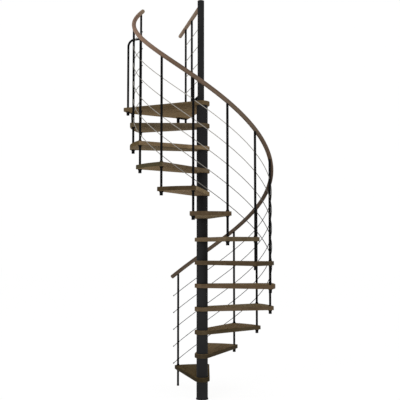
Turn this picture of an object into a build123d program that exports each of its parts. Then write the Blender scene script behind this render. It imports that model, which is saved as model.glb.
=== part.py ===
from build123d import *
import os
from math import sin, cos, asin, atan2, radians, degrees, sqrt, pi, hypot

os.makedirs("parts", exist_ok=True)

# ---------------------------------------------------------------------------
# Spiral staircase, millimetres.  Origin: centre of the pole on the floor.
# +Z up, X to the right and -Y towards the viewer of the photograph.
# The stair climbs clockwise seen from above.
# ---------------------------------------------------------------------------

# climb
RISE = 220.0            # height from one tread to the next
FIRST_RISE = 208.0      # height of the first tread over the floor
N_TREADS = 12           # loose treads; the landing is the thirteenth rise
STEP_ANGLE = 26.116     # turn from one baluster to the next, degrees
THETA_0 = 112.22        # direction of the first baluster, degrees
LANDING_Z = FIRST_RISE + RISE * N_TREADS

# treads
TREAD_T = 38.0          # thickness of treads and landing
R_OUT = 697.0           # outer edge of the treads
R_COLLAR = 72.0         # round inner end of the treads
R_BAL = 665.0           # circle of the balusters
EDGE_OVER = 30.0        # tread edge beyond the baluster centre
FRONT_OVER = 39.0       # landing's front edge beyond the last baluster
CORNER_R = 13.0         # plan rounding of the outer corners
EASE_R = 3.0            # rounding of the upper and lower arrises

# pole
R_CORE = 24.15          # steel core tube
CORE_BORE = 20.9
R_SPACER = 54.0         # spacer tubes between the treads
SPACER_BORE = 50.0
FLANGE_R = 58.0         # base flange on the floor
FLANGE_T = 12.0
ANCHOR_PCD_R = 37.5     # circle of the floor anchors
ANCHOR_HOLE_R = 5.5
POST_R = 32.2          # post above the landing
POST_BORE = 29.0
POST_X = -13.0
POST_TOP = 3843.0
CAP_T = 6.0             # flat rim of the post cap
CAP_DOME_R = 22.0       # raised middle of the post cap
CAP_DOME_T = 5.0

# railing
R_BAR = 11.0            # balusters
BAR_CLEAR = 0.15
R_RAIL = 20.0           # round wooden handrail
RAIL_Z0 = 1177.0        # handrail centre at the first baluster
CABLE_R = 3.5
CABLE_Z0 = 270.5        # lowest cable at the first baluster
CABLE_GAP = 174.2
N_CABLES = 5
CABLE_HOLE_R = 3.75
FOOT_H = 10.0           # foot of the first baluster
RAIL_START = 6.4        # handrail beyond the first baluster, degrees
RAIL_END = 3.7          # handrail beyond the last baluster, degrees
CABLE_START = 3.9       # cable tails beyond the first baluster, degrees
CABLE_END = 2.0         # cable tails beyond the last baluster, degrees
NUT_H = 37.0            # end nut under a tread
PITCH = RISE * 360.0 / STEP_ANGLE

# landing rail
LR_DIR = 103.8          # direction of the straight landing rail, degrees
LR_Z = 3800.0
LR_END = 990.0          # from the post axis to the rail's free end
LR_INNER = 394.0        # from the post axis to the two landing balusters
LR_OUTER = 687.0
LC_Z0 = 2912.0          # lowest landing cable
LC_GAP = 173.0

# corner hoop
HOOP_LEG = (-754.5, 296.0)
HOOP_TOP = 3547.5
HOOP_BEND = 66.0


def polar(r, deg):
    return (r * cos(radians(deg)), r * sin(radians(deg)))


def bar_angle(k):
    """direction of baluster k from the pole"""
    return THETA_0 - k * STEP_ANGLE


def top(k):
    """height of tread k's upper face; the landing is number 13"""
    return FIRST_RISE + RISE * (k - 1)


def bar_xy(k):
    return polar(R_BAL, bar_angle(k))


def helix_point(z_at_0, ang_past):
    """point of a helix on the baluster circle, ang_past degrees beyond baluster 0"""
    x, y = polar(R_BAL, THETA_0 - ang_past)
    return (x, y, z_at_0 + RISE * ang_past / STEP_ANGLE)


def helix_dir(ang_past):
    a = radians(THETA_0 - ang_past)
    rise = PITCH / (2 * pi)
    return (R_BAL * sin(a), -R_BAL * cos(a), rise)


def helix_path(z_at_0, start, end):
    """left-hand helix on the baluster circle between two angles past baluster 0"""
    with BuildLine(mode=Mode.PRIVATE) as line:
        Helix(pitch=PITCH, height=PITCH * (end - start) / 360.0, radius=R_BAL,
              lefthand=True)
    z = z_at_0 + RISE * start / STEP_ANGLE
    return line.edges()[0].rotate(Axis.Z, THETA_0 - start).translate((0, 0, z))


def upright(x, y, z, deg=0.0):
    """horizontal working plane at a point, its x axis turned by deg"""
    return Plane(origin=(x, y, z), x_dir=(cos(radians(deg)), sin(radians(deg)), 0),
                 z_dir=(0, 0, 1))


def save(part, name):
    part.label = name
    export_step(part, "parts/" + name + ".step")


# ---------------------------------------------------------------------------
# pole: base flange, core tube, spacers
# ---------------------------------------------------------------------------
with BuildPart() as base_flange:
    with BuildSketch(Plane.XY):
        Circle(FLANGE_R)
        with PolarLocations(ANCHOR_PCD_R, 4, start_angle=45):
            Circle(ANCHOR_HOLE_R, mode=Mode.SUBTRACT)
    extrude(amount=FLANGE_T)
    fillet(base_flange.faces().sort_by(Axis.Z)[-1].outer_wire().edges(), radius=2.5)
save(base_flange.part, "base_flange")

with BuildPart() as pole_core:
    with BuildSketch(Plane.XY.offset(FLANGE_T)):
        Circle(R_CORE)
        Circle(CORE_BORE, mode=Mode.SUBTRACT)
    extrude(amount=LANDING_Z - 2.0 - FLANGE_T)
save(pole_core.part, "pole_core")

with BuildPart() as pole_spacers:
    for k in range(N_TREADS + 1):
        z_low = FLANGE_T if k == 0 else top(k)
        z_high = top(k + 1) - TREAD_T
        with BuildSketch(Plane.XY.offset(z_low)):
            Circle(R_SPACER)
            Circle(SPACER_BORE, mode=Mode.SUBTRACT)
        extrude(amount=z_high - z_low)
save(pole_spacers.part, "pole_spacers")

# ---------------------------------------------------------------------------
# treads: straight sides tangent to the round inner end, curved outer edge
# ---------------------------------------------------------------------------
half = STEP_ANGLE / 2
side_off = degrees(asin((R_COLLAR - EDGE_OVER) / R_BAL))
side_dir = half - side_off          # direction of a tread side from its mid line
reach = sqrt(R_OUT ** 2 - R_COLLAR ** 2)
sd, cd = sin(radians(side_dir)), cos(radians(side_dir))
TAN_P = (-R_COLLAR * sd, R_COLLAR * cd)
TAN_M = (TAN_P[0], -TAN_P[1])
END_P = (TAN_P[0] + reach * cd, TAN_P[1] + reach * sd)
END_M = (END_P[0], -END_P[1])

for k in range(1, N_TREADS + 1):
    mid = bar_angle(k - 0.5)
    under = upright(0, 0, top(k) - TREAD_T, mid)
    with BuildPart() as tread:
        with BuildSketch(under) as outline:
            with BuildLine():
                Line(TAN_M, END_M)
                ThreePointArc(END_M, (R_OUT, 0), END_P)
                Line(END_P, TAN_P)
                ThreePointArc(TAN_P, (-R_COLLAR, 0), TAN_M)
            make_face()
            fillet(outline.vertices().sort_by(Axis.X)[-2:], radius=CORNER_R)
        extrude(amount=TREAD_T)
        fillet(tread.faces().sort_by(Axis.Z)[-1].outer_wire().edges()
               + tread.faces().sort_by(Axis.Z)[0].outer_wire().edges(), radius=EASE_R)
        # bore for the core tube and clearance hole for the front baluster
        with BuildSketch(under):
            Circle(R_CORE + 0.35)
            with Locations(polar(R_BAL, half)):
                Circle(R_BAR + BAR_CLEAR)
            with Locations(polar(R_BAL, -half)):
                Circle(R_BAR + BAR_CLEAR)
        extrude(amount=TREAD_T, mode=Mode.SUBTRACT)
    save(tread.part, "tread_%02d" % k)

# ---------------------------------------------------------------------------
# landing platform
# ---------------------------------------------------------------------------
front_off = degrees(asin((R_COLLAR - FRONT_OVER) / R_BAL))
front_dir = bar_angle(N_TREADS) + 360.0 - front_off    # along the front edge
far_dir = 108.0                                        # along the far right edge
outer_n = 118.0                                        # normal of the long outer edge
outer_d = 698.0
front_len = 845.0                                      # front edge, from the round inner end
front_n = polar(1.0, front_dir + 90.0)
front_t = polar(1.0, front_dir)
P1 = (R_COLLAR * front_n[0], R_COLLAR * front_n[1])
P4 = (P1[0] + front_len * front_t[0], P1[1] + front_len * front_t[1])
far_n = polar(1.0, far_dir - 90.0)
P2 = (R_COLLAR * far_n[0], R_COLLAR * far_n[1])
out_n = polar(1.0, outer_n)
left_t = polar(1.0, front_dir - 90.0)                  # left end, square to the front
s5 = (outer_d - (P4[0] * out_n[0] + P4[1] * out_n[1])) / \
     (left_t[0] * out_n[0] + left_t[1] * out_n[1])
P5 = (P4[0] + s5 * left_t[0], P4[1] + s5 * left_t[1])
far_t = polar(1.0, far_dir)
s3 = (outer_d - (P2[0] * out_n[0] + P2[1] * out_n[1])) / \
     (far_t[0] * out_n[0] + far_t[1] * out_n[1])
P3 = (P2[0] + s3 * far_t[0], P2[1] + s3 * far_t[1])
nose = polar(R_COLLAR, (front_dir + 90.0 + far_dir - 90.0 + 360.0) / 2.0)

LR_X = cos(radians(LR_DIR))
LR_Y = sin(radians(LR_DIR))
LR_IN = (POST_X + LR_INNER * LR_X, LR_INNER * LR_Y)
LR_OUT = (POST_X + LR_OUTER * LR_X, LR_OUTER * LR_Y)

with BuildPart() as landing_platform:
    with BuildSketch(Plane.XY.offset(LANDING_Z - TREAD_T)) as plan:
        with BuildLine():
            Line(P1, P4)
            Line(P4, P5)
            Line(P5, P3)
            Line(P3, P2)
            ThreePointArc(P2, nose, P1)
        make_face()
        fillet([v for v in plan.vertices() if hypot(v.X, v.Y) > 400], radius=12.0)
    extrude(amount=TREAD_T)
    fillet(landing_platform.faces().sort_by(Axis.Z)[-1].outer_wire().edges()
           + landing_platform.faces().sort_by(Axis.Z)[0].outer_wire().edges(),
           radius=EASE_R)
    with BuildSketch(Plane.XY.offset(LANDING_Z - TREAD_T)):
        Circle(R_CORE + 0.35)
        with Locations(bar_xy(N_TREADS), HOOP_LEG, LR_IN, LR_OUT):
            Circle(R_BAR + BAR_CLEAR)
    extrude(amount=TREAD_T, mode=Mode.SUBTRACT)
save(landing_platform.part, "landing_platform")

# ---------------------------------------------------------------------------
# balusters 0 to 12, each notched under the handrail and drilled for the cables;
# the first stands on the floor, the other twelve hang in the treads
# ---------------------------------------------------------------------------
bars = []
for k in range(N_TREADS + 1):
    bx, by = bar_xy(k)
    past = k * STEP_ANGLE
    foot = FOOT_H if k == 0 else top(k) - TREAD_T
    head = RAIL_Z0 + RISE * k
    with BuildPart() as baluster:
        with BuildSketch(upright(bx, by, foot)):
            Circle(R_BAR)
        extrude(amount=head - foot)
        with Locations(Plane(origin=helix_point(RAIL_Z0, past), z_dir=helix_dir(past))):
            Cylinder(R_RAIL + 0.15, 160, mode=Mode.SUBTRACT)
        for i in range(N_CABLES):
            with Locations(Plane(origin=helix_point(CABLE_Z0 + CABLE_GAP * i, past),
                                 z_dir=helix_dir(past))):
                Cylinder(CABLE_HOLE_R, 60, mode=Mode.SUBTRACT)
    bars.append(baluster.part)
save(bars[0], "first_baluster")
with BuildPart() as balusters:
    for bar in bars[1:]:
        add(bar)
save(balusters.part, "balusters")

# nuts under the treads and under the corner hoop's leg, and the foot of the first
# baluster; the inner landing baluster ends flush with the landing's underside
with BuildPart() as baluster_nuts:
    spots = [(bar_xy(k)[0], bar_xy(k)[1], top(k) - TREAD_T) for k in range(1, N_TREADS + 1)]
    spots += [(HOOP_LEG[0], HOOP_LEG[1], LANDING_Z - TREAD_T)]
    for x, y, z in spots:
        with BuildSketch(Plane(origin=(x, y, z), x_dir=(1, 0, 0), z_dir=(0, -1, 0))):
            with BuildLine():
                Polyline((0, 0), (20, 0), (20, -3), (13.5, -18), (13.5, -31), (10, -NUT_H),
                         (0, -NUT_H), close=True)
            make_face()
        revolve(axis=Axis((x, y, z), (0, 0, 1)))
save(baluster_nuts.part, "baluster_nuts")

with BuildPart() as first_baluster_foot:
    x, y = bar_xy(0)
    with BuildSketch(upright(x, y, 0)):
        Circle(12.5)
    extrude(amount=FOOT_H)
    fillet(first_baluster_foot.edges().sort_by(Axis.Z)[-1], radius=1.4)
save(first_baluster_foot.part, "first_baluster_foot")

# conical collars where a baluster passes through the tread above
with BuildPart() as baluster_collars:
    for k in range(N_TREADS + 1):
        x, y = bar_xy(k)
        for z, s in ((top(k + 1), 1), (top(k + 1) - TREAD_T, -1)):
            with BuildSketch(Plane(origin=(x, y, z), x_dir=(1, 0, 0), z_dir=(0, -1, 0))):
                with BuildLine():
                    Polyline((R_BAR + BAR_CLEAR, 0), (17, 0), (17, 3 * s), (12.6, 14 * s),
                             (R_BAR + BAR_CLEAR, 14 * s), close=True)
                make_face()
            revolve(axis=Axis((x, y, z), (0, 0, 1)))
save(baluster_collars.part, "baluster_collars")

# ---------------------------------------------------------------------------
# spiral handrail
# ---------------------------------------------------------------------------
rail_end = N_TREADS * STEP_ANGLE + RAIL_END
rail_path = helix_path(RAIL_Z0, -RAIL_START, rail_end)
with BuildPart() as handrail_spiral:
    with BuildSketch(Plane(origin=helix_point(RAIL_Z0, -RAIL_START),
                           z_dir=helix_dir(-RAIL_START))):
        Circle(R_RAIL)
    sweep(path=rail_path, is_frenet=True)
save(handrail_spiral.part, "handrail_spiral")
print("handrail volume", round(handrail_spiral.part.volume),
      "expected", round(pi * R_RAIL ** 2 * rail_path.length))

# ---------------------------------------------------------------------------
# five railing cables, each one piece from end to end
# ---------------------------------------------------------------------------
for i in range(N_CABLES):
    z_i = CABLE_Z0 + CABLE_GAP * i
    path = helix_path(z_i, -CABLE_START, N_TREADS * STEP_ANGLE + CABLE_END)
    with BuildPart() as cable:
        with BuildSketch(Plane(origin=helix_point(z_i, -CABLE_START),
                               z_dir=helix_dir(-CABLE_START))):
            Circle(CABLE_R)
        sweep(path=path, is_frenet=True)
    save(cable.part, "railing_cable_%d" % (i + 1))
    print("cable", i + 1, round(cable.part.volume), "expected",
          round(pi * CABLE_R ** 2 * path.length))

# end stops on the cables
with BuildPart() as cable_stops:
    for i in range(N_CABLES):
        z_i = CABLE_Z0 + CABLE_GAP * i
        for past, s in ((-CABLE_START, -1), (N_TREADS * STEP_ANGLE + CABLE_END, 1)):
            d = helix_dir(past)
            with BuildSketch(Plane(origin=helix_point(z_i, past),
                                   z_dir=(s * d[0], s * d[1], s * d[2]))):
                Circle(5.5)
            extrude(amount=12.0)
    for i in range(N_CABLES):
        d = LR_OUTER + 18.0
        with BuildSketch(Plane(origin=(POST_X + d * LR_X, d * LR_Y, LC_Z0 + LC_GAP * i),
                               z_dir=(LR_X, LR_Y, 0))):
            Circle(5.5)
        extrude(amount=12.0)
save(cable_stops.part, "cable_stops")

# ---------------------------------------------------------------------------
# landing: post, gusset, straight rail, balusters, cables
# ---------------------------------------------------------------------------
with BuildPart() as landing_post:
    with BuildSketch(upright(POST_X, 0, LANDING_Z)):
        Circle(POST_R)
        Circle(POST_BORE, mode=Mode.SUBTRACT)
    extrude(amount=POST_TOP - LANDING_Z)
    for i in range(N_CABLES):
        with Locations(Plane(origin=(POST_X, 0, LC_Z0 + LC_GAP * i), z_dir=(LR_X, LR_Y, 0))):
            Cylinder(CABLE_HOLE_R, 2 * POST_R + 20, align=(Align.CENTER, Align.CENTER, Align.MIN),
                     mode=Mode.SUBTRACT)
save(landing_post.part, "landing_post")

with BuildPart() as post_cap:
    with BuildSketch(upright(POST_X, 0, POST_TOP)):
        Circle(POST_R + 0.6)
    extrude(amount=CAP_T)
    fillet(post_cap.edges().sort_by(Axis.Z)[-1], radius=1.6)
    with BuildSketch(upright(POST_X, 0, POST_TOP + CAP_T)):
        Circle(CAP_DOME_R)
    extrude(amount=CAP_DOME_T)
    fillet(post_cap.edges().sort_by(Axis.Z)[-1], radius=3.6)
save(post_cap.part, "post_cap")

with BuildPart() as post_gusset:
    with BuildSketch(Plane(origin=(POST_X, 4.0, LANDING_Z), x_dir=(1, 0, 0), z_dir=(0, -1, 0))):
        with BuildLine():
            Polyline((-POST_R - 0.2, 0), (-POST_R - 48, 0), (-POST_R - 48, 12),
                     (-POST_R - 0.2, 58), close=True)
        make_face()
    extrude(amount=8.0)
save(post_gusset.part, "post_gusset")

with BuildPart() as landing_handrail:
    with BuildSketch(Plane(origin=(POST_X, 0, LR_Z), z_dir=(LR_X, LR_Y, 0))):
        Circle(R_RAIL)
    extrude(amount=LR_END)
    fillet(landing_handrail.edges().sort_by(Axis.Y)[-1], radius=12.0)
    with Locations((POST_X, 0, LR_Z)):
        Cylinder(POST_R + 0.05, 120, mode=Mode.SUBTRACT)
save(landing_handrail.part, "landing_handrail")

with BuildPart() as landing_balusters:
    for x, y in (LR_IN, LR_OUT):
        with BuildSketch(upright(x, y, LANDING_Z - TREAD_T)):
            Circle(R_BAR)
        extrude(amount=LR_Z - LANDING_Z + TREAD_T)
    with Locations(Plane(origin=(POST_X, 0, LR_Z), z_dir=(LR_X, LR_Y, 0))):
        Cylinder(R_RAIL + 0.1, 1000, align=(Align.CENTER, Align.CENTER, Align.MIN),
                 mode=Mode.SUBTRACT)
    for i in range(N_CABLES):
        with Locations(Plane(origin=(POST_X, 0, LC_Z0 + LC_GAP * i), z_dir=(LR_X, LR_Y, 0))):
            Cylinder(CABLE_HOLE_R, 1000, align=(Align.CENTER, Align.CENTER, Align.MIN),
                     mode=Mode.SUBTRACT)
save(landing_balusters.part, "landing_balusters")

with BuildPart() as landing_cables:
    for i in range(N_CABLES):
        start = POST_R - 1.5
        with BuildSketch(Plane(origin=(POST_X + start * LR_X, start * LR_Y, LC_Z0 + LC_GAP * i),
                               z_dir=(LR_X, LR_Y, 0))):
            Circle(CABLE_R)
        extrude(amount=LR_OUTER + 18.0 - start)
save(landing_cables.part, "landing_cables")

# ---------------------------------------------------------------------------
# corner hoop: leg through the landing, bend, short arm to the last baluster
# ---------------------------------------------------------------------------
b12 = bar_xy(N_TREADS)
hx, hy = b12[0] - HOOP_LEG[0], b12[1] - HOOP_LEG[1]
h_len = hypot(hx, hy)
hx, hy = hx / h_len, hy / h_len
with BuildPart() as corner_hoop:
    with BuildLine() as hoop_line:
        FilletPolyline((HOOP_LEG[0], HOOP_LEG[1], LANDING_Z - TREAD_T),
                       (HOOP_LEG[0], HOOP_LEG[1], HOOP_TOP),
                       (HOOP_LEG[0] + hx * h_len, HOOP_LEG[1] + hy * h_len, HOOP_TOP),
                       radius=HOOP_BEND)
    with BuildSketch(upright(HOOP_LEG[0], HOOP_LEG[1], LANDING_Z - TREAD_T)):
        Circle(R_BAR)
    sweep(path=hoop_line.line)
    with Locations((b12[0], b12[1], HOOP_TOP)):
        Cylinder(R_BAR + 0.05, 120, mode=Mode.SUBTRACT)
save(corner_hoop.part, "corner_hoop")

# plate under the outer edge that ties the landing to the upper floor
along = polar(1.0, outer_n - 90.0)
STUD_L = (-255.0, 608.0)
STUD_END = (-717.0, 355.0)
BR_Z = LANDING_Z - TREAD_T
with BuildPart() as landing_bracket:
    mid_x, mid_y = (STUD_L[0] + LR_OUT[0]) / 2, (STUD_L[1] + LR_OUT[1]) / 2
    span = hypot(LR_OUT[0] - STUD_L[0], LR_OUT[1] - STUD_L[1])
    span_deg = degrees(atan2(LR_OUT[1] - STUD_L[1], LR_OUT[0] - STUD_L[0]))
    with BuildSketch(upright(mid_x, mid_y, BR_Z - 10, span_deg)):
        SlotCenterToCenter(span, 38)
    extrude(amount=10)
    fillet(landing_bracket.faces().sort_by(Axis.Z)[0].outer_wire().edges(), radius=1.5)
save(landing_bracket.part, "landing_bracket")

# studs hanging below it, one under the outer landing baluster, and a single one
# with a round plate of its own near the landing's left end
with BuildPart() as landing_studs:
    for (x, y), radius, z_top, length in ((STUD_L, 16.5, BR_Z - 10, 80.0),
                                          (LR_OUT, 12.0, BR_Z - 10, 80.0)):
        with BuildSketch(upright(x, y, z_top - length)):
            Circle(radius)
        extrude(amount=length)
    with BuildSketch(upright(STUD_END[0], STUD_END[1], BR_Z - 8)):
        Circle(18.0)
    extrude(amount=8)
    with BuildSketch(upright(STUD_END[0], STUD_END[1], BR_Z - 100)):
        Circle(11.0)
    extrude(amount=92.0)
    fillet(landing_studs.edges().filter_by(GeomType.CIRCLE).filter_by(
        lambda e: e.center().Z < BR_Z - 85), radius=2.0)
save(landing_studs.part, "landing_studs")
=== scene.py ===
import bpy
import math
import numpy as np
from math import sin, cos, pi, radians, degrees, atan2, sqrt, hypot
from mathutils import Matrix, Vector


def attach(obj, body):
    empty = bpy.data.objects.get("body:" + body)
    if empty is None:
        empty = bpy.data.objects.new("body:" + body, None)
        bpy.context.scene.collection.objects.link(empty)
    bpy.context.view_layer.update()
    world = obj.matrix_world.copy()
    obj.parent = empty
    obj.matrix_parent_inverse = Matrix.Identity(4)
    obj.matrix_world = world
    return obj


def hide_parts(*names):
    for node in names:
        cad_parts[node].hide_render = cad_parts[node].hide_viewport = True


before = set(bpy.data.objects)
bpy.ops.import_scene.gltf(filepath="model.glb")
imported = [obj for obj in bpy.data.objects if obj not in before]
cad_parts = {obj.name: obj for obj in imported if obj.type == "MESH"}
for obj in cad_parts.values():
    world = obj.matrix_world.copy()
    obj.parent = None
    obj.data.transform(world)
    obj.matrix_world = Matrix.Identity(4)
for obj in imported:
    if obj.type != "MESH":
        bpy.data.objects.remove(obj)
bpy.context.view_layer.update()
scene = bpy.context.scene

# ---------------------------------------------------------------------------
# the stair's own dimensions, metres, as in the construction
# ---------------------------------------------------------------------------
RISE = 0.220
FIRST_RISE = 0.208
N = 12
STEP = 26.116
TH0 = 112.22
T = 0.038
R_BAL = 0.665
R_OUT = 0.697
R_COL = 0.072
R_BAR = 0.011
R_RAIL = 0.020
RAIL_Z0 = 1.177
CABLE_R = 0.0035
CABLE_Z0 = 0.2705
CABLE_GAP = 0.1742
LZ = FIRST_RISE + RISE * N
RAIL_START, RAIL_END = 6.4, 3.7
CABLE_START, CABLE_END = 3.9, 2.0
POST_X = -0.013
POST_R = 0.0322
POST_TOP = 3.843
LR_DIR = 103.8
LR_Z = 3.800
LR_END = 0.990
LR_OUTER = 0.687
LR_INNER = 0.394
LC_Z0 = 2.912
LC_GAP = 0.173
HOOP_LEG = (-0.7545, 0.296)
FRONT_DIR = TH0 - N * STEP + 360.0 - degrees(math.asin((R_COL - 0.039) / R_BAL))
RAMP = atan2(RISE, R_BAL * radians(STEP))      # climb of the helix


def bar_deg(k):
    return TH0 - k * STEP


def top(k):
    """height of tread k's upper face"""
    return FIRST_RISE + RISE * (k - 1)


def on_circle(r, deg, z=0.0):
    return Vector((r * cos(radians(deg)), r * sin(radians(deg)), z))


# ---------------------------------------------------------------------------
# node helpers
# ---------------------------------------------------------------------------
class Shader:
    def __init__(self, name):
        self.mat = bpy.data.materials.new(name)
        self.mat.use_nodes = True
        self.nt = self.mat.node_tree
        self.nt.nodes.clear()

    def node(self, kind, **props):
        n = self.nt.nodes.new(kind)
        for k, v in props.items():
            setattr(n, k, v)
        return n

    def put(self, socket, value):
        if isinstance(value, bpy.types.NodeSocket):
            self.nt.links.new(value, socket)
        elif value is not None:
            socket.default_value = value

    def math(self, op, a, b=None, c=None, clamp=False):
        n = self.node("ShaderNodeMath", operation=op, use_clamp=clamp)
        self.put(n.inputs[0], a)
        self.put(n.inputs[1], b)
        self.put(n.inputs[2], c)
        return n.outputs[0]

    def vmath(self, op, a, b=None):
        n = self.node("ShaderNodeVectorMath", operation=op)
        self.put(n.inputs[0], a)
        self.put(n.inputs[1], b)
        return n.outputs[0]

    def sep(self, v):
        n = self.node("ShaderNodeSeparateXYZ")
        self.put(n.inputs[0], v)
        return n.outputs

    def comb(self, x, y, z):
        n = self.node("ShaderNodeCombineXYZ")
        self.put(n.inputs[0], x)
        self.put(n.inputs[1], y)
        self.put(n.inputs[2], z)
        return n.outputs[0]

    def mapping(self, v, loc=(0, 0, 0), rot=(0, 0, 0), scale=(1, 1, 1)):
        n = self.node("ShaderNodeMapping")
        self.put(n.inputs["Vector"], v)
        n.inputs["Location"].default_value = loc
        n.inputs["Rotation"].default_value = rot
        n.inputs["Scale"].default_value = scale
        return n.outputs[0]

    def noise(self, v, scale, detail=4.0, rough=0.55, distort=0.0, dims="3D"):
        n = self.node("ShaderNodeTexNoise", noise_dimensions=dims)
        if v is not None:
            self.put(n.inputs["Vector"], v)
        n.inputs["Scale"].default_value = scale
        n.inputs["Detail"].default_value = detail
        n.inputs["Roughness"].default_value = rough
        n.inputs["Distortion"].default_value = distort
        return n.outputs["Fac"]

    def white(self, v):
        n = self.node("ShaderNodeTexWhiteNoise", noise_dimensions="3D")
        self.put(n.inputs["Vector"], v)
        return n.outputs["Value"]

    def ramp(self, fac, stops, mode="LINEAR"):
        n = self.node("ShaderNodeValToRGB")
        n.color_ramp.interpolation = mode
        el = n.color_ramp.elements
        while len(el) < len(stops):
            el.new(0.5)
        for e, (p, c) in zip(el, stops):
            e.position = p
            e.color = (*c, 1.0) if len(c) == 3 else c
        self.put(n.inputs[0], fac)
        return n.outputs[0]

    def remap(self, v, a, b, c, d):
        n = self.node("ShaderNodeMapRange")
        n.clamp = True
        self.put(n.inputs[0], v)
        for i, x in enumerate((a, b, c, d)):
            n.inputs[i + 1].default_value = x
        return n.outputs[0]

    def mix(self, fac, a, b, blend="MIX"):
        n = self.node("ShaderNodeMix", data_type="RGBA", blend_type=blend)
        self.put(n.inputs[0], fac)
        self.put(n.inputs[6], a if isinstance(a, bpy.types.NodeSocket) else (*a, 1.0))
        self.put(n.inputs[7], b if isinstance(b, bpy.types.NodeSocket) else (*b, 1.0))
        return n.outputs[2]

    def bump(self, height, strength, distance, normal=None):
        n = self.node("ShaderNodeBump")
        n.inputs["Strength"].default_value = strength
        n.inputs["Distance"].default_value = distance
        self.put(n.inputs["Height"], height)
        if normal is not None:
            self.put(n.inputs["Normal"], normal)
        return n.outputs[0]

    def finish(self, color, rough, normal=None, metallic=0.0, specular=0.5, coat=0.0,
               coat_rough=0.2, glow=0.0):
        p = self.node("ShaderNodeBsdfPrincipled")
        out = self.node("ShaderNodeOutputMaterial")
        self.put(p.inputs["Base Color"],
                 color if isinstance(color, bpy.types.NodeSocket) else (*color, 1.0))
        self.put(p.inputs["Roughness"], rough)
        p.inputs["Metallic"].default_value = metallic
        p.inputs["Specular IOR Level"].default_value = specular
        p.inputs["Coat Weight"].default_value = coat
        p.inputs["Coat Roughness"].default_value = coat_rough
        p.inputs["Emission Color"].default_value = (1.0, 1.0, 1.0, 1.0)
        p.inputs["Emission Strength"].default_value = glow
        if normal is not None:
            self.put(p.inputs["Normal"], normal)
        self.nt.links.new(p.outputs[0], out.inputs[0])
        return self.mat


# ---------------------------------------------------------------------------
# materials
# ---------------------------------------------------------------------------
TREAD_DARK = (0.098, 0.070, 0.036)
TREAD_MID = (0.150, 0.112, 0.060)
TREAD_LIGHT = (0.198, 0.152, 0.086)
RAIL_DARK = (0.118, 0.080, 0.056)
RAIL_MID = (0.225, 0.160, 0.116)
RAIL_LIGHT = (0.320, 0.236, 0.178)


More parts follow.
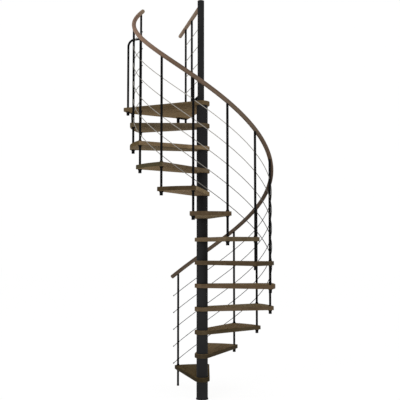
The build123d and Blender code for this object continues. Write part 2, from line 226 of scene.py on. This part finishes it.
def wood(name, build_vec, tones, seed, stave=0.0, length=0.62, specular=0.014, pore=1.0,
         joint=1.0, along=None, faces=None, rough_lo=0.70):
    """Oiled hardwood.  build_vec returns coordinates with x along the grain.
    along gives factors of painted light and shade at distances along the piece, faces gives
    tints of painted light and shade for the edges, the upper face, the underside and the outer
    end."""
    s = Shader(name)
    dark, mid, light = tones
    vec = build_vec(s)
    u, v, w = s.sep(vec)[:3]
    if stave:
        vs = s.math("DIVIDE", s.math("ADD", v, 0.5 * stave + 0.0037 * (seed % 7)), stave)
        row = s.math("FLOOR", vs)
        frac = s.math("SUBTRACT", vs, row)
        shift = s.white(s.comb(row, float(seed), 3.7))
        us = s.math("DIVIDE", s.math("ADD", u, s.math("MULTIPLY", shift, length)), length)
        cell = s.math("FLOOR", us)
        ufrac = s.math("SUBTRACT", us, cell)
        pick = s.white(s.comb(row, cell, float(seed) + 0.31))
        pick2 = s.white(s.comb(row, cell, float(seed) + 9.7))
        side = s.math("MINIMUM", frac, s.math("SUBTRACT", 1.0, frac))
        end = s.math("MINIMUM", ufrac, s.math("SUBTRACT", 1.0, ufrac))
        seam_v = s.remap(s.math("MULTIPLY", side, stave), 0.00005, 0.00055, 1.0, 0.0)
        seam_u = s.remap(s.math("MULTIPLY", end, length), 0.00005, 0.0006, 1.0, 0.0)
        seam = s.math("MAXIMUM", seam_v, seam_u)
        off = s.comb(s.math("MULTIPLY", pick, 7.0), s.math("MULTIPLY", pick2, 5.0),
                     s.math("MULTIPLY", pick, 3.0))
        g = s.vmath("ADD", vec, off)
    else:
        pick, seam = None, None
        g = s.mapping(vec, loc=(0.37 * seed, 0.11 * seed, 0.0))
    # slow wander of the grain, then fibres, growth bands, flecks and pores
    wander = s.noise(s.mapping(g, scale=(2.2, 9.0, 9.0)), 1.0, 2.0, 0.5)
    bend = s.comb(0.0, s.math("MULTIPLY", wander, 0.030), s.math("MULTIPLY", wander, 0.022))
    gb = s.vmath("ADD", g, bend)
    broad = s.noise(s.mapping(gb, scale=(1.6, 34.0, 34.0)), 1.0, 4.0, 0.6)
    bands = s.noise(s.mapping(gb, scale=(2.6, 150.0, 120.0)), 1.0, 3.0, 0.6)
    fibre = s.noise(s.mapping(gb, scale=(14.0, 900.0, 900.0)), 1.0, 3.0, 0.65)
    pores = s.noise(s.mapping(gb, scale=(42.0, 1500.0, 1500.0)), 1.0, 2.0, 0.5)
    pore_mask = s.remap(pores, 0.61, 0.70, 0.0, 1.0)
    flecks = s.noise(s.mapping(gb, scale=(95.0, 520.0, 520.0)), 1.0, 1.0, 0.5)
    fleck_mask = s.remap(flecks, 0.62, 0.74, 0.0, 1.0)
    tone = s.math("ADD", s.math("MULTIPLY", broad, 0.46),
                  s.math("ADD", s.math("MULTIPLY", bands, 0.34),
                         s.math("MULTIPLY", fibre, 0.20)))
    if pick is not None:
        tone = s.math("ADD", tone, s.math("MULTIPLY", s.math("SUBTRACT", pick, 0.5), 0.07))
    col = s.ramp(tone, [(0.34, dark), (0.50, mid), (0.66, light)])
    col = s.mix(s.math("MULTIPLY", fleck_mask, 0.18), col, light)
    col = s.mix(s.math("MULTIPLY", pore_mask, 0.42 * pore), col,
                tuple(0.45 * c for c in dark))
    if seam is not None:
        col = s.mix(s.math("MULTIPLY", seam, 0.22 * joint), col, tuple(0.4 * c for c in dark))
    # worn patches: the oil is thinner and greyer where it is touched
    worn = s.noise(s.mapping(vec, loc=(seed * 0.7, 2.0, 0.0)), 3.1, 4.0, 0.6)
    worn_mask = s.remap(worn, 0.50, 0.72, 0.0, 1.0)
    col = s.mix(s.math("MULTIPLY", worn_mask, 0.14), col, tuple(1.2 * c for c in mid))
    if along is not None:
        # painted light and shade along the rail: a ramp of factors darkens the lower run strongly
        # and leaves the upper run near full colour, a little lighter in places
        end = along[-1][0]
        place = s.math("ADD", u, s.math("MULTIPLY", s.math("SUBTRACT", worn, 0.5), 0.25))
        shade = s.ramp(s.math("DIVIDE", place, end), [(a / end, f) for a, f in along])
        col = s.mix(1.0, col, shade, "MULTIPLY")
    if faces is not None:
        # painted light and shade by face direction: the edges, the outer end, the upper face and
        # the underside each get their own tint
        edge, upper, under, outer = faces
        here = s.node("ShaderNodeTexCoord")
        nz = s.sep(here.outputs["Normal"])[2]
        x, y = s.sep(here.outputs["Object"])[:2]
        reach = s.math("SQRT", s.math("ADD", s.math("MULTIPLY", x, x),
                                      s.math("MULTIPLY", y, y)))
        painted_shading = s.mix(s.remap(reach, R_OUT - 0.011, R_OUT - 0.004, 0.0, 1.0), edge, outer)
        painted_shading = s.mix(s.remap(nz, 0.5, 0.9, 0.0, 1.0), painted_shading, upper)
        painted_shading = s.mix(s.remap(nz, -0.9, -0.5, 1.0, 0.0), painted_shading, under)
        col = s.mix(1.0, col, painted_shading, "MULTIPLY")
    rough = s.math("ADD", s.remap(worn, 0.3, 0.7, rough_lo, rough_lo + 0.12),
                   s.math("MULTIPLY", fibre, 0.10))
    h = s.math("SUBTRACT", s.math("MULTIPLY", fibre, 0.35),
               s.math("MULTIPLY", pore_mask, 0.55))
    if seam is not None:
        h = s.math("SUBTRACT", h, s.math("MULTIPLY", seam, 0.7))
    nrm = s.bump(h, 0.55, 0.00035)
    return s.finish(col, rough, nrm, specular=specular)


def object_vec(rot_deg, loc=(0, 0, 0)):
    def build(s):
        tc = s.node("ShaderNodeTexCoord")
        return s.mapping(tc.outputs["Object"], loc=loc, rot=(0, 0, -radians(rot_deg)))
    return build


def attribute_vec(name):
    def build(s):
        a = s.node("ShaderNodeAttribute", attribute_type="GEOMETRY", attribute_name=name)
        return a.outputs["Vector"]
    return build


def coated(name, base, rough=0.62, specular=0.05, grain=900.0, dust=0.003, height=0.00002):
    """Powder coated steel: fine orange peel, faint dust and handling marks."""
    s = Shader(name)
    tc = s.node("ShaderNodeTexCoord").outputs["Object"]
    peel = s.noise(tc, grain, 2.0, 0.5)
    big = s.noise(tc, 6.0, 5.0, 0.6)
    marks = s.noise(s.mapping(tc, scale=(1.0, 1.0, 0.22)), 55.0, 4.0, 0.62)
    m = s.remap(marks, 0.55, 0.80, 0.0, 1.0)
    col = s.mix(s.remap(big, 0.35, 0.7, 0.0, 1.0), tuple(0.86 * c for c in base),
                tuple(1.16 * c for c in base))
    col = s.mix(s.math("MULTIPLY", m, 0.35), col, tuple(c + dust for c in base))
    rg = s.math("ADD", s.remap(big, 0.3, 0.7, rough - 0.05, rough + 0.06),
                s.math("MULTIPLY", m, 0.10))
    nrm = s.bump(peel, 0.22, height)
    return s.finish(col, rg, nrm, specular=specular)


def steel(name, base, rough=0.34, scale=(900.0, 900.0, 60.0), height_shade=None, metallic=1.0):
    """Stainless steel with fine drawn lines.  The fifth argument, (height, height, factors),
    paints
    shade: the lower lengths are darker than the upper ones."""
    s = Shader(name)
    tc = s.node("ShaderNodeTexCoord").outputs["Object"]
    lines = s.noise(s.mapping(tc, scale=scale), 1.0, 3.0, 0.6)
    soil = s.noise(tc, 38.0, 4.0, 0.6)
    col = s.mix(s.remap(soil, 0.45, 0.72, 0.0, 1.0), base, tuple(0.72 * c for c in base))
    if height_shade is not None:
        lo, hi, painted_shading = height_shade
        # painted shade: full factors below the low height, fading to none above the high height
        z = s.math("ADD", s.sep(tc)[2], s.math("MULTIPLY", s.math("SUBTRACT", soil, 0.5), 0.4))
        col = s.mix(1.0, col, s.mix(s.remap(z, lo, hi, 0.0, 1.0), painted_shading, (1.0, 1.0, 1.0)),
                    "MULTIPLY")
    rg = s.math("ADD", s.remap(lines, 0.3, 0.7, rough - 0.07, rough + 0.08),
                s.math("MULTIPLY", soil, 0.08))
    nrm = s.bump(lines, 0.25, 0.00004)
    return s.finish(col, rg, nrm, metallic=metallic, specular=0.5 * metallic)


POLE = coated("pole_powder_coat", (0.0160, 0.0160, 0.0165), 0.62, 0.030, height=0.000008)
BAR = coated("baluster_powder_coat", (0.0040, 0.0040, 0.0042), 0.60, 0.022, dust=0.001,
             height=0.000005)
PLASTIC = coated("black_nylon", (0.0050, 0.0050, 0.0052), 0.66, 0.024, grain=500.0, dust=0.001,
                 height=0.000006)
# the cables and ferrules carry painted shade on their lower lengths, fading out between 1.55 m
# and 2.5 m
WIRE = steel("cable_stainless", (0.315, 0.298, 0.266), 0.55, metallic=0.05,
             height_shade=(1.55, 2.50, (0.025, 0.027, 0.032)))
FERRULE = steel("ferrule_stainless", (0.20, 0.19, 0.175), 0.45, metallic=0.30,
                height_shade=(1.55, 2.50, (0.06, 0.065, 0.07)))

# ---------------------------------------------------------------------------
# mesh helpers
# ---------------------------------------------------------------------------


def new_mesh(name, verts, faces, mat, smooth=True, attrs=None):
    me = bpy.data.meshes.new(name)
    me.from_pydata([tuple(map(float, v)) for v in verts], [], [tuple(map(int, f)) for f in faces])
    me.validate(clean_customdata=False)
    if smooth:
        me.polygons.foreach_set("use_smooth", [True] * len(me.polygons))
    me.materials.append(mat)
    for key, data in (attrs or {}).items():
        a = me.attributes.new(key, "FLOAT_VECTOR", "POINT")
        a.data.foreach_set("vector", np.asarray(data, dtype=np.float32).ravel())
    me.update()
    ob = bpy.data.objects.new(name, me)
    scene.collection.objects.link(ob)
    return ob


def sharpen(ob, deg=35.0):
    """marks edges sharper than deg so that smooth shading keeps its arrises"""
    me = ob.data
    me.set_sharp_from_angle(angle=radians(deg))


def tube(name, centres, n1, n2, rings, mat, grain=None, cap=True):
    """Skin along a path.  rings[i] is an array of (a, b) offsets in the n1, n2 frame."""
    m = len(rings[0])
    verts, faces, gv = [], [], []
    for i, (c, a1, a2, ring) in enumerate(zip(centres, n1, n2, rings)):
        for (p, q) in ring:
            verts.append(c + a1 * p + a2 * q)
            if grain is not None:
                gv.append((grain[i], p, q))
    k = len(centres)
    for i in range(k - 1):
        for j in range(m):
            j2 = (j + 1) % m
            faces.append((i * m + j, i * m + j2, (i + 1) * m + j2, (i + 1) * m + j))
    if cap:
        faces.append(tuple(reversed(range(m))))
        faces.append(tuple(range((k - 1) * m, k * m)))
    return new_mesh(name, verts, faces, mat, attrs={"grain": gv} if grain is not None else None)


def helix_frame(z0, past):
    """point, tangent, outward normal and the third axis on the baluster circle"""
    a = radians(TH0 - past)
    c = np.array((R_BAL * cos(a), R_BAL * sin(a), z0 + RISE * past / STEP))
    n = np.array((cos(a), sin(a), 0.0))
    t = np.array((sin(a) * cos(RAMP), -cos(a) * cos(RAMP), sin(RAMP)))
    b = np.cross(t, n)
    return c, t, n, b


def circle_ring(r, m, phase=0.0):
    a = np.arange(m) / m * 2 * pi + phase
    return np.stack((r * np.cos(a), r * np.sin(a)), 1)


def rope_ring(r, m, phase, lobes=6):
    """outline of a strand bundle: six outer wires round a core"""
    a = np.arange(m) / m * 2 * pi
    depth = 0.86 + 0.14 * np.abs(np.cos(lobes * a / 2.0)) ** 0.8
    rr = r * depth
    return np.stack((rr * np.cos(a + phase), rr * np.sin(a + phase)), 1)


def lathe(name, profile, origin, axis, mat, m=40, smooth_deg=38.0):
    """Turned shape.  profile is (radius, height) pairs from one end to the other."""
    axis = np.array(axis, float) / np.linalg.norm(axis)
    ref = np.array((0, 0, 1.0)) if abs(axis[2]) < 0.9 else np.array((1.0, 0, 0))
    e1 = np.cross(axis, ref)
    e1 /= np.linalg.norm(e1)
    e2 = np.cross(axis, e1)
    origin = np.array(origin, float)
    verts, faces = [], []
    rows = []
    for r, h in profile:
        if r < 1e-7:
            rows.append([len(verts)])
            verts.append(origin + axis * h)
        else:
            start = len(verts)
            for j in range(m):
                t = 2 * pi * j / m
                verts.append(origin + axis * h + e1 * r * cos(t) + e2 * r * sin(t))
            rows.append(list(range(start, start + m)))
    for a, b in zip(rows, rows[1:]):
        for j in range(m):
            j2 = (j + 1) % m
            if len(a) == 1 and len(b) == 1:
                continue
            if len(a) == 1:
                faces.append((a[0], b[j2], b[j]))
            elif len(b) == 1:
                faces.append((a[j], a[j2], b[0]))
            else:
                faces.append((a[j], a[j2], b[j2], b[j]))
    return verts, faces


def turned(name, items, mat, m=40, closed=False, deg=38.0):
    """One mesh of many turned shapes: items are (profile, origin, axis)."""
    V, F = [], []
    for profile, origin, axis in items:
        if closed:
            profile = list(profile) + [profile[0]]
        v, f = lathe(name, profile, origin, axis, mat, m)
        o = len(V)
        V.extend(v)
        F.extend([tuple(i + o for i in face) for face in f])
    me = bpy.data.meshes.new(name)
    me.from_pydata([tuple(map(float, v)) for v in V], [], F)
    me.validate(clean_customdata=False)
    bm_clean(me)
    me.polygons.foreach_set("use_smooth", [True] * len(me.polygons))
    me.materials.append(mat)
    ob = bpy.data.objects.new(name, me)
    scene.collection.objects.link(ob)
    sharpen(ob, deg)
    return ob


def bm_clean(me):
    import bmesh
    bm = bmesh.new()
    bm.from_mesh(me)
    bmesh.ops.remove_doubles(bm, verts=bm.verts, dist=1e-6)
    bmesh.ops.recalc_face_normals(bm, faces=bm.faces)
    bm.to_mesh(me)
    bm.free()


def put(ob, node=None):
    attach(ob, "root")
    if node:
        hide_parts(*([node] if isinstance(node, str) else node))
    return ob


def set_material(node, mat):
    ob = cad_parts[node]
    if not ob.material_slots:
        ob.data.materials.append(None)
    for sl in ob.material_slots:
        sl.link = "OBJECT"
        sl.material = mat


# ---------------------------------------------------------------------------
# treads and landing keep their shape and get board-by-board timber
# ---------------------------------------------------------------------------
TREAD_TONES = (TREAD_DARK, TREAD_MID, TREAD_LIGHT)
# painted light and shade, by tread: tints of the long sides, the outer end, the upper
# face and the underside; the lowest treads are painted darkest
EDGE_PAINTED_SHADING = {1: (0.200, 0.193, 0.176), 2: (0.280, 0.274, 0.289), 3: (0.375, 0.363, 0.364),
             4: (0.628, 0.584, 0.633), 5: (0.619, 0.554, 0.597), 6: (0.462, 0.427, 0.452),
             7: (0.808, 0.766, 0.831), 8: (0.720, 0.670, 0.700), 9: (1.234, 1.172, 1.149),
             10: (0.805, 0.775, 0.847), 11: (1.167, 1.080, 1.109), 12: (0.578, 0.579, 0.634)}
END_PAINTED_SHADING = {6: (0.340, 0.320, 0.330), 7: (0.567, 0.566, 0.605), 8: (0.482, 0.437, 0.454),
            9: (0.340, 0.307, 0.290), 10: (0.389, 0.425, 0.414), 11: (0.612, 0.562, 0.454)}
UPPER_PAINTED_SHADING = {1: (0.618, 0.567, 0.437), 2: (1.152, 1.062, 0.968), 3: (1.210, 1.080, 0.980),
              4: (1.238, 1.197, 1.102), 5: (1.275, 1.152, 1.017)}
UNDER_PAINTED_SHADING = {8: (1.045, 1.021, 1.062), 9: (1.259, 1.158, 1.213), 10: (1.226, 1.135, 1.079),
              11: (1.058, 1.030, 1.072), 12: (0.963, 0.932, 0.972)}
LANDING_UNDER_PAINTED_SHADING = (1.136, 1.035, 0.968)
for k in range(1, N + 1):
    mid = bar_deg(k - 0.5)
    m = wood("tread_timber_%02d" % k, object_vec(mid), TREAD_TONES, seed=k * 3 + 1, stave=0.044,
             faces=(EDGE_PAINTED_SHADING[k], UPPER_PAINTED_SHADING.get(k, (1.12, 1.04, 0.95)),
                    UNDER_PAINTED_SHADING.get(k, (0.92, 0.88, 0.87)), END_PAINTED_SHADING.get(k, EDGE_PAINTED_SHADING[k])))
    set_material("tread_%02d" % k, m)
# the landing gets painted shade on its edges and outer end, and painted light on its upper face
# and underside
m = wood("landing_timber", object_vec(FRONT_DIR), TREAD_TONES, seed=51, stave=0.048, length=0.9,
         faces=((0.70, 0.66, 0.64), (1.12, 1.04, 0.95), LANDING_UNDER_PAINTED_SHADING, (0.70, 0.66, 0.64)))
set_material("landing_platform", m)

# ---------------------------------------------------------------------------
# metal that keeps its shape
# ---------------------------------------------------------------------------
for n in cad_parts:
    if n in ("balusters", "first_baluster", "corner_hoop", "landing_balusters", "post_gusset"):
        set_material(n, BAR)
    elif n.startswith("pole") or n in ("base_flange", "landing_post", "post_cap"):
        set_material(n, POLE)
    elif n in ("landing_bracket", "landing_studs", "baluster_nuts", "baluster_collars",
               "first_baluster_foot"):
        set_material(n, PLASTIC)

# ---------------------------------------------------------------------------
# spiral handrail with eased ends; the grain follows the rail
# ---------------------------------------------------------------------------
past0, past1 = -RAIL_START, N * STEP + RAIL_END
arc_mm = R_BAL * radians(1.0) / cos(RAMP)            # metres of rail per degree
ease = 0.006
steps = [(ease * (1 - cos(q)), R_RAIL - ease + ease * sin(q)) for q in np.linspace(0, pi / 2, 7)]
length = (past1 - past0) * arc_mm
n_mid = 400
rows = list(steps)
for i in range(1, n_mid):
    rows.append((ease + (length - 2 * ease) * i / n_mid, R_RAIL))
rows += [(length - s, r) for s, r in reversed(rows[:7])]
cs, n1s, n2s, rings, gs = [], [], [], [], []
for s_along, r in rows:
    c, t, n, b = helix_frame(RAIL_Z0, past0 + s_along / arc_mm)
    cs.append(c)
    n1s.append(n)
    n2s.append(b)
    rings.append(circle_ring(r, 48))
    gs.append(s_along)
RAIL_TONES = (RAIL_DARK, RAIL_MID, RAIL_LIGHT)
rail_mat = wood("handrail_timber", attribute_vec("grain"), RAIL_TONES, seed=5, stave=0.0,
                specular=0.06, pore=0.8, rough_lo=0.55,
                along=[(0.00, (0.427, 0.435, 0.429)), (0.95, (0.457, 0.453, 0.440)),
                       (1.60, (0.186, 0.172, 0.159)), (2.05, (0.473, 0.450, 0.414)),
                       (2.45, (0.495, 0.500, 0.490)), (3.00, (0.469, 0.445, 0.418)),
                       (3.30, (0.489, 0.442, 0.403)), (3.65, (0.837, 0.756, 0.719)),
                       (3.90, (1.106, 0.968, 0.920)), (4.15, (0.847, 0.742, 0.718)),
                       (4.40, (0.929, 0.815, 0.785)), (4.70, (1.000, 1.095, 0.998))])
rail = tube("handrail_spiral_timber", cs, n1s, n2s, rings, rail_mat, grain=gs)
sharpen(rail, 60)
put(rail, "handrail_spiral")

# straight rail on the landing
d = np.array((cos(radians(LR_DIR)), sin(radians(LR_DIR)), 0.0))
side = np.array((-d[1], d[0], 0.0))
up = np.array((0, 0, 1.0))
s0 = sqrt(POST_R ** 2 - R_RAIL ** 2)                 # starts on the post's surface
cs, n1s, n2s, rings, gs = [], [], [], [], []
end_r = 0.012
rows = [(s0, R_RAIL), (s0 + 0.02, R_RAIL)]
rows += [(s0 + 0.02 + (LR_END - end_r - s0 - 0.02) * i / 60, R_RAIL) for i in range(1, 61)]
rows += [(LR_END - end_r + end_r * sin(t), R_RAIL - end_r + end_r * cos(t))
         for t in np.linspace(0.2, pi / 2, 8)]
for s_along, r in rows:
    cs.append(np.array((POST_X, 0, LR_Z)) + d * s_along)
    n1s.append(side)
    n2s.append(up)
    ring = circle_ring(r, 48)
    rings.append(ring)
    gs.append(s_along)
# the first ring follows the round post
first = rings[0]
straight = tube("landing_handrail_timber", cs, n1s, n2s, rings,
                wood("landing_rail_timber", attribute_vec("grain"), RAIL_TONES, seed=17,
                     stave=0.0, specular=0.06, pore=0.8, rough_lo=0.55,
                     along=[(0.0, (0.86, 0.84, 0.80)), (1.0, (0.86, 0.84, 0.80))]), grain=gs)
me = straight.data
for j in range(48):
    a, b = first[j]
    # distance from the post axis along the rail at this side offset
    sx = sqrt(max(0.0, (POST_R + 0.00005) ** 2 - a * a))
    p = np.array((POST_X, 0, LR_Z)) + d * sx + side * a + up * b
    me.vertices[j].co = p
sharpen(straight, 50)
put(straight, "landing_handrail")

# ---------------------------------------------------------------------------
# cables: twisted strands
# ---------------------------------------------------------------------------
LAY = 0.052
M = 18
for i in range(5):
    z0 = CABLE_Z0 + CABLE_GAP * i
    p0, p1 = -CABLE_START, N * STEP + CABLE_END
    L = (p1 - p0) * arc_mm
    cnt = int(L / 0.0052)
    cs, n1s, n2s, rings = [], [], [], []
    for q in range(cnt + 1):
        s_along = L * q / cnt
        c, t, n, b = helix_frame(z0, p0 + s_along / arc_mm)
        cs.append(c)
        n1s.append(n)
        n2s.append(b)
        rings.append(rope_ring(CABLE_R, M, 2 * pi * s_along / LAY))
    ob = tube("cable_strand_%d" % (i + 1), cs, n1s, n2s, rings, WIRE)
    sharpen(ob, 80)
    put(ob, "railing_cable_%d" % (i + 1))

cs_all = []
parts = []
for i in range(5):
    z = LC_Z0 + LC_GAP * i
    s0c, s1c = POST_R - 0.0012, LR_OUTER + 0.018
    L = s1c - s0c
    cnt = int(L / 0.0052)
    cs, n1s, n2s, rings = [], [], [], []
    for q in range(cnt + 1):
        s_along = s0c + L * q / cnt
        cs.append(np.array((POST_X, 0, z)) + d * s_along)
        n1s.append(side)
        n2s.append(up)
        rings.append(rope_ring(CABLE_R, M, 2 * pi * s_along / LAY))
    ob = tube("landing_cable_strand_%d" % (i + 1), cs, n1s, n2s, rings, WIRE)
    sharpen(ob, 80)
    put(ob, "landing_cables")


def stop_profile(r, h):
    return [(0.0, 0.0), (r - 0.0006, 0.0), (r, 0.0006), (r, h * 0.36), (r - 0.0005, h * 0.40),
            (r - 0.0005, h * 0.46), (r, h * 0.50), (r, h - 0.0016), (r - 0.0005, h - 0.0006),
            (r - 0.0016, h), (0.0, h)]


items = []
for i in range(5):
    z0 = CABLE_Z0 + CABLE_GAP * i
    for past, sgn in ((-CABLE_START, -1), (N * STEP + CABLE_END, 1)):
        c, t, n, b = helix_frame(z0, past)
        items.append((stop_profile(0.0055, 0.012), c, t * sgn))
for i in range(5):
    c = np.array((POST_X, 0, LC_Z0 + LC_GAP * i)) + d * (LR_OUTER + 0.018)
    items.append((stop_profile(0.0055, 0.012), c, d))
put(turned("cable_end_ferrules", items, FERRULE, m=28), "cable_stops")

# small nylon bushes where the cables pass through the bars
bush = [(0.0036, -0.0012), (0.0050, -0.0012), (0.0054, -0.0005), (0.0054, 0.0010),
        (0.0047, 0.0016), (0.0036, 0.0016)]
items = []
for k in range(N + 1):
    for i in range(5):
        for sgn in (-1, 1):
            reach = 0.0108 / cos(RAMP)
            past = k * STEP + sgn * reach / arc_mm
            c, t, n, b = helix_frame(CABLE_Z0 + CABLE_GAP * i, past)
            items.append((bush, c, t * sgn))
put(turned("cable_bushes", items, PLASTIC, m=16, closed=True), None)

# ---------------------------------------------------------------------------
# turned nylon fittings: end nuts, passing collars, post cap, hanging studs
# ---------------------------------------------------------------------------
nut = [(0.0, 0.0), (0.0198, 0.0), (0.0200, 0.0003), (0.0200, 0.0026), (0.0196, 0.0034),
       (0.0158, 0.0110), (0.0150, 0.0124), (0.0150, 0.0222), (0.0145, 0.0226), (0.0145, 0.0236),
       (0.0150, 0.0240), (0.0150, 0.0340), (0.0145, 0.0356), (0.0132, 0.0370), (0.0, 0.0370)]
items = []
for k in range(1, N + 1):
    c = on_circle(R_BAL, bar_deg(k), top(k) - T)
    items.append((nut, c, (0, 0, -1)))
lr_out = (POST_X + d[0] * LR_OUTER, d[1] * LR_OUTER)
items.append((nut, (HOOP_LEG[0], HOOP_LEG[1], LZ - T), (0, 0, -1)))
put(turned("baluster_end_nuts", items, PLASTIC, m=36), "baluster_nuts")

collar = [(0.01115, 0.0), (0.0168, 0.0), (0.0170, 0.0003), (0.0170, 0.0022), (0.0166, 0.0030),
          (0.0131, 0.0126), (0.0126, 0.0136), (0.0121, 0.0140), (0.01115, 0.0140)]
items = []
for k in range(N + 1):
    for z, sgn in ((top(k + 1), 1), (top(k + 1) - T, -1)):
        items.append((collar, on_circle(R_BAL, bar_deg(k), z), (0, 0, sgn)))
put(turned("baluster_passing_collars", items, PLASTIC, m=32, closed=True), "baluster_collars")

cap = [(0.0, 0.0), (0.03255, 0.0), (0.0328, 0.0003), (0.0328, 0.0044), (0.0323, 0.0054),
       (0.0312, 0.0060), (0.0228, 0.0060), (0.0222, 0.0062), (0.0220, 0.0068), (0.0219, 0.0078),
       (0.0209, 0.0094), (0.0186, 0.0106), (0.0120, 0.01095), (0.0, 0.0110)]
put(turned("post_top_cap", [(cap, (POST_X, 0, POST_TOP), (0, 0, 1))], POLE, m=56), "post_cap")


def stud_profile(rad, length, thread):
    p = [(0.0, 0.0), (rad - 0.0004, 0.0), (rad, 0.0006), (rad, 0.0070), (rad - 0.0012, 0.0078),
         (rad - 0.0012, 0.0092), (rad, 0.0100)]
    h = length - thread - 0.004
    p += [(rad, h), (rad - 0.0010, h + 0.0010)]
    z = h + 0.0014
    while z < length - 0.0036:
        p += [(rad - 0.0022, z), (rad - 0.0008, z + 0.0009)]
        z += 0.0018
    p += [(rad - 0.0012, length - 0.0020), (rad - 0.0032, length), (0.0, length)]
    return p


foot_plate = [(0.0, 0.0), (0.0178, 0.0), (0.0180, 0.0003), (0.0180, 0.0068), (0.0172, 0.0080),
              (0.0112, 0.0080), (0.0110, 0.0083), (0.0, 0.0083)]
put(turned("landing_hanging_studs", [
    (stud_profile(0.0165, 0.080, 0.024), (-0.255, 0.608, LZ - T - 0.010), (0, 0, -1)),
    (stud_profile(0.0120, 0.080, 0.024), (lr_out[0], lr_out[1], LZ - T - 0.010), (0, 0, -1)),
    (foot_plate, (-0.717, 0.355, LZ - T), (0, 0, -1)),
    (stud_profile(0.0110, 0.092, 0.026), (-0.717, 0.355, LZ - T - 0.008), (0, 0, -1)),
], PLASTIC, m=36), "landing_studs")

# arrises of the flat steel that keeps its shape
for n, w in (("post_gusset", 0.0009), ("landing_bracket", 0.0006), ("pole_spacers", 0.0006),
             ("landing_post", 0.0005)):
    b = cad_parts[n].modifiers.new("eased_arris", "BEVEL")
    b.width = w
    b.segments = 2
    b.limit_method = "ANGLE"
    b.angle_limit = radians(40)
    b.harden_normals = False

# ---------------------------------------------------------------------------
# floor, light, camera
# ---------------------------------------------------------------------------
floor_me = bpy.data.meshes.new("studio_floor")
floor_me.from_pydata([(-30, -30, -0.0006), (30, -30, -0.0006), (30, 30, -0.0006),
                      (-30, 30, -0.0006)], [], [(0, 1, 2, 3)])
fs = Shader("studio_floor_paint")
ftc = fs.node("ShaderNodeTexCoord").outputs["Object"]
fcol = fs.mix(fs.noise(ftc, 0.7, 3.0, 0.5), (0.12, 0.12, 0.12), (0.13, 0.13, 0.13))
floor_me.materials.append(fs.finish(fcol, 0.85, specular=0.0, glow=0.915))
floor = bpy.data.objects.new("studio_floor", floor_me)
scene.collection.objects.link(floor)

world = bpy.data.worlds.new("studio")
scene.world = world
world.use_nodes = True
wn = world.node_tree
wn.nodes.clear()
geo = wn.nodes.new("ShaderNodeTexCoord")
sepw = wn.nodes.new("ShaderNodeSeparateXYZ")
wn.links.new(geo.outputs["Generated"], sepw.inputs[0])
rampw = wn.nodes.new("ShaderNodeValToRGB")
rampw.color_ramp.elements[0].position = 0.40
rampw.color_ramp.elements[0].color = (1.0, 1.0, 1.0, 1)
rampw.color_ramp.elements[1].position = 0.80
rampw.color_ramp.elements[1].color = (0.50, 0.50, 0.50, 1)
wn.links.new(sepw.outputs[2], rampw.inputs[0])
bg = wn.nodes.new("ShaderNodeBackground")
bg.inputs["Strength"].default_value = 1.004
wn.links.new(rampw.outputs[0], bg.inputs[0])
wo = wn.nodes.new("ShaderNodeOutputWorld")
wn.links.new(bg.outputs[0], wo.inputs[0])


def area(name, loc, target, size, power, color=(1, 1, 1)):
    li = bpy.data.lights.new(name, "AREA")
    li.shape = "RECTANGLE"
    li.size, li.size_y = size
    li.energy = power
    li.color = color
    ob = bpy.data.objects.new(name, li)
    ob.location = loc
    ob.rotation_mode = "QUATERNION"
    ob.rotation_quaternion = (Vector(target) - Vector(loc)).to_track_quat("-Z", "Y")
    scene.collection.objects.link(ob)
    return ob


area("key_softbox", (-3.6, -5.4, 3.6), (0, 0, 1.9), (2.6, 3.4), 120)
area("fill_softbox", (4.6, -4.2, 1.6), (0, 0, 1.9), (2.4, 3.2), 50)

cam_data = bpy.data.cameras.new("camera")
cam_data.sensor_fit = "HORIZONTAL"
cam_data.sensor_width = 36.0
cam_data.lens = 665.5 / 400 * 36.0
cam_data.shift_x = -2.165 / 400
cam_data.shift_y = 7.48 / 400
cam_data.dof.use_dof = False
cam_data.clip_end = 200.0
cam = bpy.data.objects.new("camera", cam_data)
cam.location = (0.0, -6.4034, 1.4445)
cam.rotation_euler = (pi / 2 + 0.05841, 0.0, 0.0)
scene.collection.objects.link(cam)
scene.camera = cam

scene.view_settings.view_transform = "Standard"
scene.view_settings.look = "None"
scene.view_settings.exposure = 0.0
scene.view_settings.gamma = 1.0
